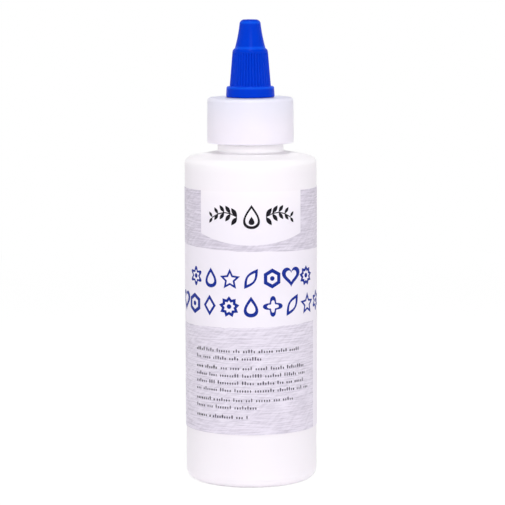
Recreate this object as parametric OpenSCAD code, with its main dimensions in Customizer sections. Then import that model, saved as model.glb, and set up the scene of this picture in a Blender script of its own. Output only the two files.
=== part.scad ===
// Squeeze bottle of white glue. It has a wrap label, a screw closure that
// carries a spout with a sealing pin, and a nozzle that twists up to open.
// Millimetres, +Z up, origin at the centre of the surface that it stands on.
// The front of the label faces -Y.

/* [Bottle body] */
// Outside diameter of the body
body_d = 42; // [36:0.5:60]
// Height of the straight side, up to the shoulder's corner
side_h = 101.6; // [75:0.1:160]
// Wall of the body, heel and shoulder
body_wall = 1; // [0.6:0.1:1.8]
// Thickness of the base
base_t = 1.3; // [0.8:0.1:2.5]
// Radius of the heel, outside
heel_r = 3.2; // [2:0.1:6]
// Width of the ring that the bottle stands on
stand_w = 3.5; // [2:0.1:6]
// Height of the hollow under the base
push_up = 1.4; // [0.5:0.1:3]
// Radius of the shoulder's corner, outside
shoulder_r = 2.4; // [2:0.1:4]
// Slope of the shoulder, in degrees
shoulder_slope = 10.5; // [5:0.5:30]

/* [Neck] */
// Outside diameter of the neck, under the thread
neck_d = 20.9; // [18:0.1:26]
// Wall of the neck
neck_wall = 1.7; // [1.2:0.1:3]
// Height of the neck, from the shoulder to the rim
neck_h = 15; // [13:0.1:22]
// Radius where the shoulder meets the neck
neck_fillet = 0.8; // [0.3:0.1:1.2]

/* [Neck thread] */
// Rise of the thread in one turn
neck_lead = 3.175; // [2.8:0.005:4]
// Turns of thread on the neck
neck_turns = 1.5; // [1:0.05:1.8]
// Depth of the thread
neck_thread_depth = 1.1; // [0.6:0.05:1.4]
// Width of a thread at its root
neck_thread_w = 1.4; // [0.8:0.05:1.5]
// From the rim down to the thread's upper end
neck_thread_start = 1.6; // [1:0.1:3]

/* [Closure] */
// Gap between the shoulder and the collar's lower edge
collar_gap = 2.6; // [1:0.05:4]
// Wall of the collar, outside its thread
collar_wall = 1.95; // [1:0.05:2.5]
// Thickness of the collar's roof
roof_t = 1.2; // [0.8:0.1:2]
// How much narrower the collar is at its top, on the radius
collar_draft = 0.12; // [0:0.01:0.4]
// Radius of the collar's top edge
collar_edge_r = 1.1; // [0.3:0.1:1.5]
// Radius of the collar's lower edge
collar_foot_r = 0.5; // [0.2:0.05:0.8]
// Turns of thread in the collar
collar_turns = 1.2; // [0.8:0.05:1.4]
// Thickness of the sealing liner
liner_t = 0.7; // [0.4:0.05:1.2]
// How far the liner reaches in past the neck's bore
liner_lip = 0.4; // [0:0.1:1]

/* [Spout and pin] */
// Outside diameter of the spout, under its thread
spout_d = 7.4; // [7.2:0.1:10]
// Height of the threaded part of the spout, above the collar
spout_h = 9.4; // [8.8:0.1:12]
// Diameter of the nose that the nozzle seals on
nose_d = 6; // [5.2:0.1:6.4]
// Height of the nose
nose_h = 5.6; // [4.8:0.1:8]
// Bore of the spout
spout_bore_d = 4; // [3.4:0.1:4.4]
// Diameter of the sealing pin
pin_d = 2; // [1.2:0.1:2.4]
// Number of fins that carry the pin
fin_count = 3; // [2:1:4]
// Thickness of a fin
fin_t = 0.8; // [0.6:0.1:1.2]
// How far the stop bead stands out from the spout
bead_out = 0.4; // [0.2:0.05:0.6]
// Height of the stop bead
bead_h = 0.5; // [0.3:0.05:0.8]
// Turns of thread on the spout
spout_turns = 0.85; // [0.5:0.05:0.9]

/* [Twist nozzle] */
// How far the nozzle rises from closed to open
nozzle_travel = 3; // [2:0.1:3.4]
// How far the nozzle turns from closed to open, in degrees
nozzle_twist = 180; // [150:5:240]
// How far the open orifice stands clear of the pin
nozzle_open = 0.6; // [0.2:0.1:1]
// Wall of the barrel at its top, ribs included
barrel_wall = 1.15; // [0.9:0.05:1.8]
// How much wider the barrel is at its foot, on the radius
barrel_draft = 0.94; // [0.1:0.01:1.5]
// How far the barrel reaches above the threaded part of the spout
barrel_over = 6.3; // [4:0.1:8]
// Radius of the ledge at the top of the barrel
ledge_r = 1.4; // [0.6:0.1:2]
// Number of ribs
rib_count = 40; // [24:1:44]
// How far a rib stands out
rib_out = 0.32; // [0.15:0.01:0.36]
// Height of the flange
flange_h = 3.4; // [2:0.05:4]
// How far the flange stands out from the barrel's foot
flange_out = 1.15; // [0.8:0.05:2]
// How much narrower the flange is at its top, on the radius
flange_draft = 0.15; // [0:0.01:0.3]
// Radius of the flange's top edge
flange_edge_r = 0.6; // [0.2:0.05:0.7]
// Wall of the cone at its foot
cone_wall = 1.8; // [1.2:0.05:2]
// Outside diameter of the tip
tip_d = 6.75; // [5:0.05:7]
// Radius of the tip's edge
tip_edge_r = 1.5; // [0.3:0.05:1.6]
// How far the cone curves in, at half its height
cone_waist = 0.15; // [0:0.01:0.3]
// Height of the chamber, from the nose to the orifice
chamber_h = 7.25; // [4:0.05:12]

/* [Nozzle thread] */
// Number of starts
nozzle_starts = 2; // [1:1:2]
// Depth of the thread
nozzle_thread_depth = 0.5; // [0.35:0.05:0.6]
// Width of a thread at its root
nozzle_thread_w = 1.1; // [0.7:0.05:1.2]
// Turns of thread in the nozzle
nozzle_turns = 0.4; // [0.2:0.05:0.45]

/* [Label] */
// From the surface up to the label's lower edge
label_z = 17.4; // [8:0.1:30]
// From the label's upper edge up to the shoulder's corner
label_top_gap = 7.4; // [2:0.1:20]
// Thickness of the label
label_t = 0.12; // [0.08:0.01:0.4]
// Gap between the label's ends, at the back
label_gap = 3; // [1:0.5:12]

/* [Glue] */
// From the glue's surface up to the shoulder's corner
fill_gap = 5.1; // [1:0.1:60]

/* [Clearances] */
// Between a thread's crest and the wall that it faces
thread_clear = 0.3; // [0.2:0.05:0.5]
// Between the nozzle and the nose or the pin, on the radius
seal_clear = 0.05; // [0.02:0.01:0.1]
// Between pieces that lie on each other
seat_clear = 0.05; // [0.02:0.01:0.2]
// Between glue and what holds it
glue_clear = 0.05; // [0.02:0.01:0.2]
// Between the collar and the closed nozzle
nozzle_gap = 0.15; // [0.1:0.05:0.5]

/* [Hidden] */

$fn = 144;
arc_steps = 8;        // straight steps in a rounded edge
thread_steps = 28;    // straight steps in one turn of a thread
thread_fade = 0.12;   // part of a turn over which a thread runs out
thread_thin = 0.05;   // what is left of a thread's depth at its ends
seam_turn = -7.3;     // where a turned shell has its seam, clear of the threads' steps
thread_sink = 0.35;   // how deep a thread's foot lies in its wall
flank_lean = 0.4;     // how much a flank leans, for each unit of depth
pin_edge = 0.2;       // chamfer at the ends of the pin and the orifice
nose_edge = 0.4;      // chamfer at the top of the nose
spout_fillet = 0.5;   // where the spout meets the collar's roof
chamber_lip = 0.7;    // how much wider the chamber's top is than the orifice
rib_lap = 0.15;       // how far a rib runs into the flange and the ledge
rib_back = 0.06;      // how far a rib's crest stays behind the ledge
ledge_arc = 62;       // degrees that the ledge turns before the cone starts

// The bottle, up to its rim
body_r = body_d / 2;
heel_x = body_r - heel_r;
stand_x = heel_x - stand_w;
shoulder_x = body_r - shoulder_r;
neck_r = neck_d / 2;
neck_bore_r = neck_r - neck_wall;
shoulder_end_x = shoulder_x + shoulder_r * sin(shoulder_slope);
shoulder_end_z = side_h + shoulder_r * cos(shoulder_slope);
neck_z = shoulder_end_z + (shoulder_end_x - neck_r) * tan(shoulder_slope);
rim_z = neck_z + neck_h;
neck_thread_z = rim_z - neck_thread_start - neck_lead * neck_turns;

// The closure, which is set on the rim with its liner between
roof_z = rim_z + liner_t + 2 * seat_clear;
collar_top = roof_z + roof_t;
collar_z = neck_z + collar_gap;
skirt_r = neck_r + neck_thread_depth + thread_clear;
collar_r = skirt_r + collar_wall;
collar_top_r = collar_r - collar_draft;
liner_r = skirt_r - seat_clear;
liner_bore_r = neck_bore_r - liner_lip;

// The spout, and the nozzle that turns on it
spout_r = spout_d / 2;
nose_r = nose_d / 2;
spout_bore_r = spout_bore_d / 2;
pin_r = pin_d / 2;
spout_top = collar_top + spout_h;
nose_top = spout_top + nose_h;
nozzle_lead = nozzle_travel * 360 / nozzle_twist;
nozzle_bore_r = spout_r + nozzle_thread_depth + thread_clear;
nozzle_thread_z = spout_top - bead_h - seat_clear - nozzle_travel
                  - nozzle_thread_w / 2 - nozzle_lead * nozzle_turns;
spout_thread_z = collar_top + spout_fillet + nozzle_thread_w;
nozzle_z = collar_top + nozzle_gap;
flange_top = nozzle_z + flange_h;
barrel_top = spout_top + barrel_over;
barrel_r = nozzle_bore_r + barrel_wall;
barrel_foot_r = barrel_r + barrel_draft;
flange_r = barrel_foot_r + flange_out;
seal_r = nose_r + seal_clear;
cone_r = seal_r + cone_wall;
tip_r = tip_d / 2;
orifice_r = pin_r + seal_clear;
tip_round = min(tip_edge_r, tip_r - orifice_r - pin_edge);  // as the tip's wall allows
orifice_z = nose_top + chamber_h;
tip_top = orifice_z + nozzle_travel - nozzle_open;
chamber_z = nose_top + thread_clear;
chamber_r = orifice_r + chamber_lip;
bore_top = spout_top + thread_clear;

// What lies on the body, and in it
label_r = body_r + seat_clear;
label_h = side_h - label_top_gap - label_z;
fill_z = side_h - fill_gap;

// Points of an arc about x, z, from angle a to angle b
function arc(x, z, r, a, b) =
  [for (i = [0 : arc_steps]) let (t = a + (b - a) * i / arc_steps)
    [x + r * cos(t), z + r * sin(t)]];

// Points of the domed base, from its rim at stand_x to the axis
function dome(z) =
  [for (i = [0 : arc_steps]) let (t = 90 * i / arc_steps)
    [stand_x * cos(t), z + push_up * sin(t)]];

// Points of the cone, from its foot up to the tip's edge
function cone_side() =
  [for (i = [0 : arc_steps]) let (t = i / arc_steps)
    [cone_r + (tip_r - cone_r) * t - 4 * cone_waist * t * (1 - t),
     barrel_top + (tip_top - tip_round - barrel_top) * t]];

// Share of a thread's depth at turn t, which runs out at both ends
function run_out(t, turns) =
  max(thread_thin, min(1, t / thread_fade, (turns - t) / thread_fade));

// One start of a right-hand thread on a wall of radius r, from z = 0 upwards.
// Its crest points out where side is 1, and in where side is -1.
module thread(r, depth, width, lead, turns, side) {
  steps = ceil(turns * thread_steps);
  foot = r - side * thread_sink;
  foot_half = width / 2 + thread_sink * flank_lean;
  rings = [for (i = [0 : steps])
    let (t = turns * i / steps, d = depth * run_out(t, turns), crest = r + side * d,
         half = width / 2 - d * flank_lean, z = lead * t, a = 360 * t)
      [for (p = [[foot, z - foot_half], [crest, z - half], [crest, z + half], [foot, z + foot_half]])
        [p[0] * cos(a), p[0] * sin(a), p[1]]]];
  points = [for (ring = rings) each ring];
  flanks = [for (i = [0 : steps - 1], k = [0 : 3])
    let (m = 4 * i + k, n = 4 * i + (k + 1) % 4)
      each [[m, n, n + 4], [m, n + 4, m + 4]]];
  faces = concat(flanks, [[3, 2, 1, 0], [for (k = [0 : 3]) 4 * steps + k]]);
  polyhedron(points, side > 0 ? faces : [for (f = faces) [for (k = [1 : len(f)]) f[len(f) - k]]]);
}

// Angle at which a thread that starts at height z runs midway between the
// threads of its mate, which start at height mate_z
function mesh_angle(z, mate_z, lead, starts) =
  (z - mate_z - lead / starts / 2) * 360 / lead;

module bottle() {
  fillet_z = neck_z + neck_fillet * (1 - sin(shoulder_slope)) / cos(shoulder_slope);
  inner_neck_z = neck_z + neck_wall * tan(shoulder_slope) - body_wall / cos(shoulder_slope);
  outside = concat(
    [[0, push_up]], [for (i = [1 : arc_steps]) dome(0)[arc_steps - i]],
    arc(heel_x, heel_r, heel_r, -90, 0),
    arc(shoulder_x, side_h, shoulder_r, 0, 90 - shoulder_slope),
    arc(neck_r + neck_fillet, fillet_z, neck_fillet, 270 - shoulder_slope, 180),
    [[neck_r, rim_z]]);
  inside = concat(
    [[neck_bore_r, rim_z], [neck_bore_r, inner_neck_z]],
    arc(shoulder_x, side_h, shoulder_r - body_wall, 90 - shoulder_slope, 0),
    arc(heel_x, heel_r, heel_r - body_wall, 0, -90),
    dome(base_t));
  color("white") union() {
    rotate([0, 0, seam_turn]) rotate_extrude() polygon(concat(outside, inside));
    translate([0, 0, neck_thread_z])
      thread(neck_r, neck_thread_depth, neck_thread_w, neck_lead, neck_turns, 1);
  }
}

module wrap_label() {
  gap_angle = label_gap / label_r * 180 / PI;
  color("lightgray") translate([0, 0, label_z]) rotate([0, 0, 90 + gap_angle / 2])
    rotate_extrude(angle = 360 - gap_angle) translate([label_r, 0]) square([label_t, label_h]);
}

module glue_fill() {
  wall_r = body_r - body_wall - glue_clear;
  inner_heel_r = heel_r - body_wall - glue_clear;
  color("ivory") rotate_extrude() polygon(concat(
    [[0, fill_z], [wall_r, fill_z]],
    arc(heel_x, heel_r, inner_heel_r, 0, -90),
    dome(base_t + glue_clear)));
}

module closure_shell() {
  rotate([0, 0, seam_turn]) rotate_extrude() polygon(concat(
    [[skirt_r, roof_z], [skirt_r, collar_z]],
    arc(collar_r - collar_foot_r, collar_z + collar_foot_r, collar_foot_r, -90, 0),
    arc(collar_top_r - collar_edge_r, collar_top - collar_edge_r, collar_edge_r, 0, 90),
    arc(spout_r + spout_fillet, collar_top + spout_fillet, spout_fillet, 270, 180),
    [[spout_r, spout_top - bead_h], [spout_r + bead_out, spout_top - bead_h],
     [spout_r + bead_out, spout_top - bead_h / 2], [spout_r, spout_top],
     [nose_r, spout_top], [nose_r, nose_top - nose_edge], [nose_r - nose_edge, nose_top],
     [spout_bore_r, nose_top], [spout_bore_r, roof_z]]));
}

module sealing_pin() {
  fin_reach = (spout_bore_r + nose_r) / 2;
  translate([0, 0, roof_z]) {
    cylinder(r = pin_r, h = tip_top - seat_clear - pin_edge - roof_z);
    for (i = [0 : fin_count - 1]) rotate([0, 0, 360 * i / fin_count])
      translate([0, -fin_t / 2, 0]) cube([fin_reach, fin_t, spout_top - roof_z]);
  }
  translate([0, 0, tip_top - seat_clear - pin_edge])
    cylinder(r1 = pin_r, r2 = pin_r - pin_edge, h = pin_edge);
}

module closure() {
  collar_thread_z = neck_thread_z - neck_lead / 2;
  color("ghostwhite") union() {
    closure_shell();
    sealing_pin();
    translate([0, 0, collar_thread_z])
      thread(skirt_r, neck_thread_depth, neck_thread_w, neck_lead, collar_turns, -1);
    for (i = [0 : nozzle_starts - 1]) translate([0, 0, spout_thread_z])
      rotate([0, 0, 360 * i / nozzle_starts])
        thread(spout_r, nozzle_thread_depth, nozzle_thread_w, nozzle_lead, spout_turns, 1);
  }
}

module closure_liner() {
  color("white") translate([0, 0, rim_z + seat_clear]) difference() {
    cylinder(r = liner_r, h = liner_t);
    translate([0, 0, -liner_t]) cylinder(r = liner_bore_r, h = 3 * liner_t);
  }
}

module nozzle_shell() {
  core_r = barrel_r - rib_back - rib_out;
  core_foot_r = barrel_foot_r - rib_back - rib_out;
  ledge_z = barrel_top - ledge_r;
  rotate([0, 0, seam_turn]) rotate_extrude() polygon(concat(
    [[nozzle_bore_r, bore_top], [nozzle_bore_r, nozzle_z], [flange_r, nozzle_z]],
    arc(flange_r - flange_draft - flange_edge_r, flange_top - flange_edge_r, flange_edge_r, 0, 90),
    [[core_foot_r, flange_top], [core_r, ledge_z]],
    arc(barrel_r - ledge_r, ledge_z, ledge_r, 0, ledge_arc),
    cone_side(),
    arc(tip_r - tip_round, tip_top - tip_round, tip_round, 0, 90),
    [[orifice_r + pin_edge, tip_top], [orifice_r, tip_top - pin_edge], [orifice_r, orifice_z],
     [chamber_r, orifice_z], [seal_r, chamber_z], [seal_r, bore_top]]));
}

module nozzle_ribs() {
  foot = flange_top - rib_lap;
  top = barrel_top - ledge_r + rib_lap;
  lean = barrel_draft / (top - foot);
  for (i = [0 : rib_count - 1]) rotate([0, 0, 360 * i / rib_count])
    translate([barrel_foot_r - rib_back - rib_out, 0, foot]) rotate([0, -atan(lean), 0])
      cylinder(r = rib_out, h = (top - foot) * sqrt(1 + lean * lean), $fn = 24);
}

module twist_nozzle() {
  start = mesh_angle(nozzle_thread_z, spout_thread_z, nozzle_lead, nozzle_starts);
  color("mediumblue") union() {
    nozzle_shell();
    nozzle_ribs();
    for (i = [0 : nozzle_starts - 1]) translate([0, 0, nozzle_thread_z])
      rotate([0, 0, start + 360 * i / nozzle_starts])
        thread(nozzle_bore_r, nozzle_thread_depth, nozzle_thread_w, nozzle_lead, nozzle_turns, -1);
  }
}

module nozzle_glue() {
  hole_r = pin_r + 2 * glue_clear;
  foot = nose_top + 2 * glue_clear;
  color("ivory") rotate_extrude() polygon([
    [hole_r, foot], [seal_r - glue_clear, foot], [seal_r - glue_clear, chamber_z - glue_clear],
    [chamber_r - glue_clear, orifice_z - glue_clear], [hole_r, orifice_z - glue_clear]]);
}

bottle();
wrap_label();
glue_fill();
closure();
closure_liner();
twist_nozzle();
nozzle_glue();
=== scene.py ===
import math
import random

import bmesh
import bpy
from mathutils import Matrix, Vector
from mathutils.bvhtree import BVHTree


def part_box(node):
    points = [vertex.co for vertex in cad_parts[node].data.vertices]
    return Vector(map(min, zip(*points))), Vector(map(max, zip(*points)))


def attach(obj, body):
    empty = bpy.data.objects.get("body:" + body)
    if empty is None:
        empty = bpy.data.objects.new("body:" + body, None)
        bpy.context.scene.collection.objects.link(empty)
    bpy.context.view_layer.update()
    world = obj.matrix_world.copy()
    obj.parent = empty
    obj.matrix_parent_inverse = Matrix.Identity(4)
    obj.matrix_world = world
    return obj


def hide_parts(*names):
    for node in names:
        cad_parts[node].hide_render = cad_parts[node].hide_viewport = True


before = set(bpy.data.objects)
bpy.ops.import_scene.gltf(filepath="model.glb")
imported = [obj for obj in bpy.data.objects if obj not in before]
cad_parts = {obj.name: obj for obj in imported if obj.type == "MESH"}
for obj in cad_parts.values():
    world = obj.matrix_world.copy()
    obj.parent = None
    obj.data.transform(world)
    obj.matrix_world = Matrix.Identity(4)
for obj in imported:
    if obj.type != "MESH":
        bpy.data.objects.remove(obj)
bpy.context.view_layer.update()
print("frame loaded,", len(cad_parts), "nodes")

mm = 0.001
up = Vector((0, 0, 1))
middle = Vector((0, 0, 0))
fullTurn = 2 * math.pi
touch = 0.01 * mm  # how far off a vertex may lie and still count as at a place
weld = 0.0001 * mm  # vertices nearer than this are one
sharpAngle = math.radians(32)
scene = bpy.context.scene

# Where things show in the photograph's frame; None is a direction that a point doesn't say
imageSize = (505, 505)
imagePoints = {
    "objectLeft": (185.3, None),
    "objectRight": (316.7, None),
    "objectTop": (None, 18.7),
    "objectBottom": (None, 488.3),
    "ringLeft": (226.1, None),
    "collarLeft": (207.3, None),
    "collarRight": (293.7, None),
    "collarFoot": (None, 145.2),
    "neckLeft": (218.2, None),
    "labelTop": (None, 192.0),
    "labelBottom": (None, 435.5),
    "shieldShoulder": (300.5, 232.5),
    "shieldFoot": (251.0, 245.5),
    "bandFoot": (251.0, 251.5),
    "panelTop": (251.0, 328.0),
    "panelEnd": (313.0, 380.0),
    "emblem": (251.5, 217.0),
    "upperRow": (251.0, 279.0),
    "lowerRow": (251.0, 307.0),
    "printStart": (197.6, 348.0),
}

# ---- camera ----
view = {
    "lens": 173.5,
    "sensorWidth": 36,
    "tiltDown": 6.87,
    "roll": -0.2,
    "distance": 780 * mm,
    "aimHeight": 72.79 * mm,
    "aimSide": 0.51 * mm,
    "shiftX": 0,
    "shiftY": 0,
}


def makeCamera():
    data = bpy.data.cameras.new("camera")
    data.lens = view["lens"]
    data.sensor_width = view["sensorWidth"]
    data.sensor_fit = "AUTO"
    data.shift_x = view["shiftX"]
    data.shift_y = view["shiftY"]
    made = bpy.data.objects.new("camera", data)
    scene.collection.objects.link(made)
    tilt = math.radians(view["tiltDown"])
    place = Vector((
        view["aimSide"],
        -view["distance"] * math.cos(tilt),
        view["aimHeight"] + view["distance"] * math.sin(tilt),
    ))
    rolled = Matrix.Rotation(math.radians(view["roll"]), 4, "Z")
    tilted = Matrix.Rotation(math.pi / 2 - tilt, 4, "X") @ rolled
    made.matrix_world = Matrix.Translation(place) @ tilted
    scene.camera = made
    bpy.context.view_layer.update()
    return made


camera = makeCamera()
longSide = max(imageSize)
focus = longSide * view["lens"] / view["sensorWidth"]


def inImage(point):
    # Where a point of the frame shows, in pixels
    local = camera.matrix_world.inverted() @ point
    x = imageSize[0] / 2 - view["shiftX"] * longSide - focus * local.x / local.z
    y = imageSize[1] / 2 + view["shiftY"] * longSide + focus * local.y / local.z
    return x, y


def placeOn(piece, name):
    # Where the view through an image point meets a piece, or the piece's nearest vertex to that view
    x, y = imagePoints[name]
    aim = Vector((
        x - imageSize[0] / 2 + view["shiftX"] * longSide,
        imageSize[1] / 2 - y + view["shiftY"] * longSide,
        -focus,
    ))
    start = camera.matrix_world.translation
    way = (camera.matrix_world.to_3x3() @ aim).normalized()
    tree = BVHTree.FromPolygons(
        [v.co for v in piece.data.vertices], [p.vertices for p in piece.data.polygons]
    )
    hit = tree.ray_cast(start, way)[0]
    if hit is None:
        hit = min((v.co for v in piece.data.vertices), key=lambda co: (co - start).cross(way).length)
    return hit.copy()


# ---- shared mesh work ----
def arc(x, z, radius, start, end, steps):
    # Points of an arc about x, z, between two angles in degrees
    turns = [math.radians(start + (end - start) * i / steps) for i in range(steps + 1)]
    return [(x + radius * math.cos(t), z + radius * math.sin(t)) for t in turns]


def lathe(shape, outline, steps, closed):
    # Turns an outline of radius, height points about the upright axis
    corners = [shape.verts.new((x, 0, z)) for x, z in outline]
    ends = corners[1:] + corners[:1] if closed else corners[1:]
    lines = [shape.edges.new(pair) for pair in zip(corners, ends)]
    bmesh.ops.spin(
        shape, geom=corners + lines, cent=middle, axis=up, angle=fullTurn, steps=steps, use_merge=True
    )
    bmesh.ops.remove_doubles(shape, verts=shape.verts[:], dist=weld)
    bmesh.ops.recalc_face_normals(shape, faces=shape.faces[:])


def thread(shape, wall, foot, side, size, turned=0):
    # A right-hand thread with a round crest on a wall, out where side is 1 and in where it is -1
    half = size["width"] / 2
    sink = wall - side * size["sink"]
    crest = [
        (wall + side * size["depth"] * math.sin(t), -half * math.cos(t))
        for t in [math.pi * i / size["crestSteps"] for i in range(size["crestSteps"] + 1)]
    ]
    section = [(sink, -half)] + crest + [(sink, half)]
    made = bmesh.new()
    corners = [made.verts.new((x, 0, z)) for x, z in section]
    lines = [made.edges.new(pair) for pair in zip(corners, corners[1:] + corners[:1])]
    steps = math.ceil(size["turns"] * size["stepsPerTurn"])
    rise = size["lead"] * size["turns"] / steps
    bmesh.ops.spin(
        made, geom=corners + lines, cent=middle, axis=up, dvec=up * rise,
        angle=fullTurn * size["turns"], steps=steps,
    )
    bmesh.ops.holes_fill(made, edges=made.edges[:])
    for vertex in made.verts:
        # The crest runs out into the wall at both ends
        turn = math.atan2(vertex.co.y, vertex.co.x) / fullTurn
        turn += round(vertex.co.z / size["lead"] - turn)
        share = min(1, turn / size["fade"], (size["turns"] - turn) / size["fade"])
        radius = vertex.co.xy.length
        if side * (radius - wall) > 0:
            vertex.co.xy *= (wall + (radius - wall) * max(share, size["leastCrest"])) / radius
    bmesh.ops.recalc_face_normals(made, faces=made.faces[:])
    bmesh.ops.transform(
        made, verts=made.verts[:],
        matrix=Matrix.Translation(up * foot) @ Matrix.Rotation(turned, 4, "Z"),
    )
    addTo(shape, made)


def addTo(shape, made):
    # Puts one bmesh's faces into another
    held = bpy.data.meshes.new("held")
    made.to_mesh(held)
    made.free()
    shape.from_mesh(held)
    bpy.data.meshes.remove(held)


def makePiece(name, shape, body, slot, finish, *replaced):
    # A finished bmesh as a piece that rides on a body
    for face in shape.faces:
        face.smooth = True
    mesh = bpy.data.meshes.new(name)
    shape.to_mesh(mesh)
    shape.free()
    mesh.set_sharp_from_angle(angle=sharpAngle)
    mesh.materials.append(finish)
    piece = bpy.data.objects.new(name, mesh)
    scene.collection.objects.link(piece)
    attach(piece, body)
    if replaced:
        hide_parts(*replaced)
    print("made", name, "with", len(mesh.polygons), "faces")
    return piece


# ---- materials ----
# Scales are per millimetre, because patterns read object coordinates in millimetres


class Wire:
    # A socket of a material's nodes; sums with it add Math nodes
    def __init__(self, tree, socket):
        self.tree = tree
        self.socket = socket

    def add(self, kind, settings=None, inputs=None, output=0):
        # Any node, with its settings first and then the values or links of its sockets
        node = self.tree.nodes.new(kind)
        for name, value in (settings or {}).items():
            setattr(node, name, value)
        for name, value in (inputs or {}).items():
            if isinstance(value, Wire):
                self.tree.links.new(value.socket, node.inputs[name])
            else:
                node.inputs[name].default_value = value
        return Wire(self.tree, node.outputs[output] if node.outputs else None)

    def part(self, name):
        # Another output of the same node
        return Wire(self.tree, self.socket.node.outputs[name])

    def math(self, operation, *values):
        return self.add("ShaderNodeMath", {"operation": operation}, dict(enumerate(values)))

    def __add__(self, other):
        return self.math("ADD", self, other)

    def __radd__(self, other):
        return self.math("ADD", other, self)

    def __sub__(self, other):
        return self.math("SUBTRACT", self, other)

    def __rsub__(self, other):
        return self.math("SUBTRACT", other, self)

    def __mul__(self, other):
        return self.math("MULTIPLY", self, other)

    def __rmul__(self, other):
        return self.math("MULTIPLY", other, self)

    def __truediv__(self, other):
        return self.math("DIVIDE", self, other)

    def edge(self, width):
        # 0 below zero and 1 above it, with a soft step
        ramp = {0: self, 1: -width / 2, 2: width / 2, 3: 0, 4: 1}
        return self.add("ShaderNodeMapRange", {"interpolation_type": "SMOOTHSTEP"}, ramp)

    def between(self, ends):
        # A value between two others, by this share
        low, high = ends
        return low + (high - low) * self

    def mix(self, low, high):
        # A colour between two others, by this share
        return self.add("ShaderNodeMix", {"data_type": "RGBA"}, {0: self, 6: low, 7: high}, 2)


def paint(red, green, blue):
    # A colour as it shows, in bytes, as the linear one that nodes take
    shown = [c / 255 for c in (red, green, blue)]
    return (*[c / 12.92 if c <= 0.04045 else ((c + 0.055) / 1.055) ** 2.4 for c in shown], 1)


def newFinish(name):
    # An empty material, and a wire to build it from
    material = bpy.data.materials.new(name)
    material.use_nodes = True
    tree = material.node_tree
    tree.nodes.clear()
    return material, Wire(tree, None)


def close(wire, shader):
    # Links a shader to its material's output
    wire.add("ShaderNodeOutputMaterial", {}, {"Surface": shader})


def places(wire):
    # Object coordinates in millimetres
    position = wire.add("ShaderNodeTexCoord", output="Object")
    return wire.add("ShaderNodeVectorMath", {"operation": "SCALE"}, {0: position, "Scale": 1 / mm})


def heightOf(wire, spots):
    return wire.add("ShaderNodeSeparateXYZ", {}, {0: spots}, 2)


def joined(wire, x, y, z=0):
    # A vector made of numbers or wires; another z gives a noise that differs
    return wire.add("ShaderNodeCombineXYZ", {}, {0: x, 1: y, 2: z})


def noise(wire, vector, scale, detail, roughness=0.5):
    inputs = {"Vector": vector, "Scale": scale, "Detail": detail, "Roughness": roughness}
    return wire.add("ShaderNodeTexNoise", {}, inputs)


def surface(wire, look, colour, rough, relief, more=None):
    # Closes a material with one shader, whose gloss and relief come from its look
    bump = {"Height": relief, "Strength": look["bump"], "Distance": look["depth"]}
    inputs = {
        "Base Color": colour,
        "Roughness": rough.between(look["roughness"]),
        "IOR": look["ior"],
        "Specular IOR Level": look["specular"],
        "Normal": wire.add("ShaderNodeBump", {}, bump),
    }
    inputs.update(more or {})
    close(wire, wire.add("ShaderNodeBsdfPrincipled", {}, inputs))


milky = {
    "cloudScale": 0.11,
    "cloudDetail": 3,
    "cloudShift": 0.25,
    "grainScale": 2.6,
    "grainDetail": 4,
    "depth": 0.012 * mm,
    "bump": 0.35,
    "roughness": (0.36, 0.46),
    "ior": 1.5,
    "specular": 0.35,
    "scatter": {
        "Subsurface Weight": 0.1,
        "Subsurface Radius": (1 * mm, 0.9 * mm, 0.9 * mm),
        "Subsurface Scale": 1,
    },
}


def milkyPlastic(name, tint):
    # Natural polyethylene: cloudy and satin, and light runs a little way into it. Above a height it
    # blends into a painted shading colour, which is painted light on the bottle's shoulder and painted
    # shade on the closure's top
    material, wire = newFinish(name)
    spots = places(wire)
    cloud = noise(wire, spots, milky["cloudScale"], milky["cloudDetail"])
    grain = noise(wire, spots, milky["grainScale"], milky["grainDetail"])
    plain = (cloud - milky["cloudShift"]).mix(tint["shade"], tint["colour"])
    # Painted shading above a height: lighter for the bottle, darker for the closure
    inPaintedShading = (heightOf(wire, spots) - tint["paintedShadingHeight"] / mm).edge(tint["paintedShadingBlend"] / mm)
    surface(wire, milky, inPaintedShading.mix(plain, tint["paintedShadingColour"]), grain, grain, milky["scatter"])
    return material


nozzleFinish = {
    "colour": paint(0, 60, 207),
    "shade": paint(0, 55, 201),
    # Painted highlight colour, laid along the rims
    "paintedHighlight": paint(14, 82, 226),
    "paintedHighlightReach": 0.75,
    "flowScale": 0.35,
    "flowDetail": 3,
    "grainScale": 5,
    "grainDetail": 3,
    "depth": 0.008 * mm,
    "bump": 0.4,
    "roughness": (0.22, 0.3),
    "ior": 1.5,
    "specular": 0.025,
}


def bluePlastic(rims):
    # Dyed polyethylene from a fine-sparked mould, with a paler painted highlight along its three rims
    n = nozzleFinish
    material, wire = newFinish("blue_plastic")
    spots = places(wire)
    flow = noise(wire, spots, n["flowScale"], n["flowDetail"])
    grain = noise(wire, spots, n["grainScale"], n["grainDetail"])
    height = heightOf(wire, spots)
    away = [wire.math("ABSOLUTE", height - rim / mm) for rim in rims]
    nearest = wire.math("MINIMUM", away[0], wire.math("MINIMUM", away[1], away[2]))
    # Painted highlight: paler near the nearest rim, fading out at about half the reach
    paintedHighlight = 1 - (nearest - n["paintedHighlightReach"] / 2).edge(n["paintedHighlightReach"])
    surface(wire, n, paintedHighlight.mix(flow.mix(n["shade"], n["colour"]), n["paintedHighlight"]), grain, grain)
    return material


glueTint = {
    "colour": paint(252, 251, 246),
    "shade": paint(247, 245, 238),
    "swirlScale": 0.16,
    "swirlDetail": 4,
    "depth": 0.05 * mm,
    "bump": 0.2,
    "roughness": (0.12, 0.22),
    "ior": 1.45,
    "specular": 0.5,
}


def glueFinish():
    # Thick white glue, wet and even
    g = glueTint
    material, wire = newFinish("white_glue")
    swirl = noise(wire, places(wire), g["swirlScale"], g["swirlDetail"])
    surface(wire, g, swirl.mix(g["shade"], g["colour"]), swirl, swirl)
    return material


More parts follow.
